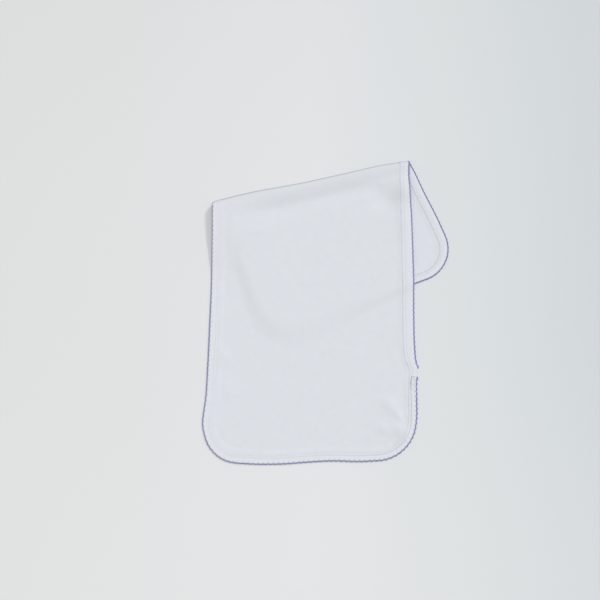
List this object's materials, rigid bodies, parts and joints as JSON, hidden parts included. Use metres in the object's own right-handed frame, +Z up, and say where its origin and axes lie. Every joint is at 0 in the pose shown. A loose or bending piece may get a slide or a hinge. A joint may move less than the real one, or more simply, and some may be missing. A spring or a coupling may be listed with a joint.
{
  "type": "burp cloth",
  "caption": "Folded rectangular burp cloth of soft white knit with rounded corners, a white bound edge and a lavender shell-stitched edging.",
  "frame": {"origin": "centre of the laid cloth's outline on the surface it rests on", "axes": "+Z up from the resting surface; +Y from the near rounded end towards the fold; +X across the cloth, towards the side where the back layer shows"},
  "size_m": [0.2986, 0.3748, 0.011],
  "materials": {
    "white_knit": "soft brushed cotton interlock knit, matte",
    "white_binding": "fine cotton knit strip, matte, with a pair of white stitch lines",
    "lavender_thread": "lavender polyester thread with a soft sheen"
  },
  "bodies": {
    "root": {"cloth_panel": "white_knit", "edge_binding": "white_binding", "picot_edging": "lavender_thread"}
  },
  "joints": []
}
